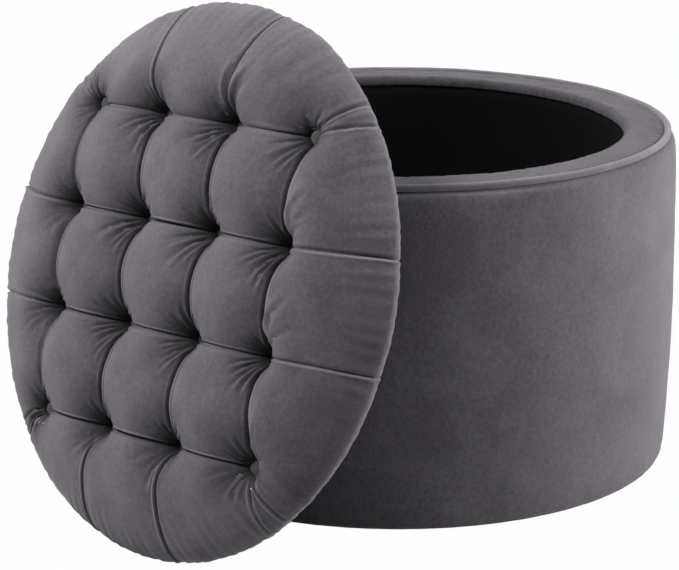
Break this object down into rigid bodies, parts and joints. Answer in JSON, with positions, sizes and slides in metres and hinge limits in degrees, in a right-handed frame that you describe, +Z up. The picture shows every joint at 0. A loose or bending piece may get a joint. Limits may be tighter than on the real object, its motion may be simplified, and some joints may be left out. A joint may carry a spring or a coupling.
{
  "type": "storage ottoman",
  "caption": "Round upholstered drum ottoman with an open storage space, a piped rim, and a loose deep-buttoned cushion lid that leans on the drum.",
  "frame": {"origin": "the middle of the whole set's footprint, on the floor; the drum's upright axis passes through the point 0.05402, 0.10386", "axes": "+Z up; +X to the right and +Y to the back as seen from the front, where the lid leans on the drum's front left"},
  "size_m": [0.7486, 0.8482, 0.5617],
  "materials": {
    "velvet": "matte",
    "black_cloth": "matte",
    "foam": "matte",
    "plywood": "matte",
    "hardboard": "matte",
    "pine": "matte",
    "black_plastic": "satin",
    "zinc_steel": "satin"
  },
  "bodies": {
    "drum": {"base_dust_cloth": "black_cloth", "base_board": "plywood", "outer_shell": "hardboard", "inner_shell": "hardboard", "rim_board": "plywood", "post_1": "pine", "post_2": "pine", "post_3": "pine", "post_4": "pine", "post_5": "pine", "post_6": "pine", "side_foam": "foam", "rim_foam": "foam", "side_cover": "velvet", "rim_cover": "velvet", "rim_piping": "velvet", "floor_lining": "black_cloth", "wall_lining": "black_cloth", "glide_1": "black_plastic", "glide_2": "black_plastic", "glide_3": "black_plastic", "glide_4": "black_plastic", "glide_5": "black_plastic", "glide_6": "black_plastic"},
    "lid": {"lid_board": "plywood", "lid_dust_cloth": "black_cloth", "lid_foam": "foam", "lid_cover": "velvet", "button_1_1": "velvet", "button_1_2": "velvet", "button_1_3": "velvet", "button_1_4": "velvet", "button_2_1": "velvet", "button_2_2": "velvet", "button_2_3": "velvet", "button_2_4": "velvet", "button_3_1": "velvet", "button_3_2": "velvet", "button_3_3": "velvet", "button_3_4": "velvet", "button_4_1": "velvet", "button_4_2": "velvet", "button_4_3": "velvet", "button_4_4": "velvet", "locating_block_1": "pine", "locating_block_2": "pine", "locating_block_3": "pine", "locating_block_4": "pine", "block_screw_1": "zinc_steel", "block_screw_2": "zinc_steel", "block_screw_3": "zinc_steel", "block_screw_4": "zinc_steel", "block_screw_5": "zinc_steel", "block_screw_6": "zinc_steel", "block_screw_7": "zinc_steel", "block_screw_8": "zinc_steel"}
  },
  "joints": [
    {"name": "lid_lift", "type": "slide", "parent": "drum", "child": "lid", "axis": [0, 0, 1], "range_m": [0, 0.4]}
  ]
}
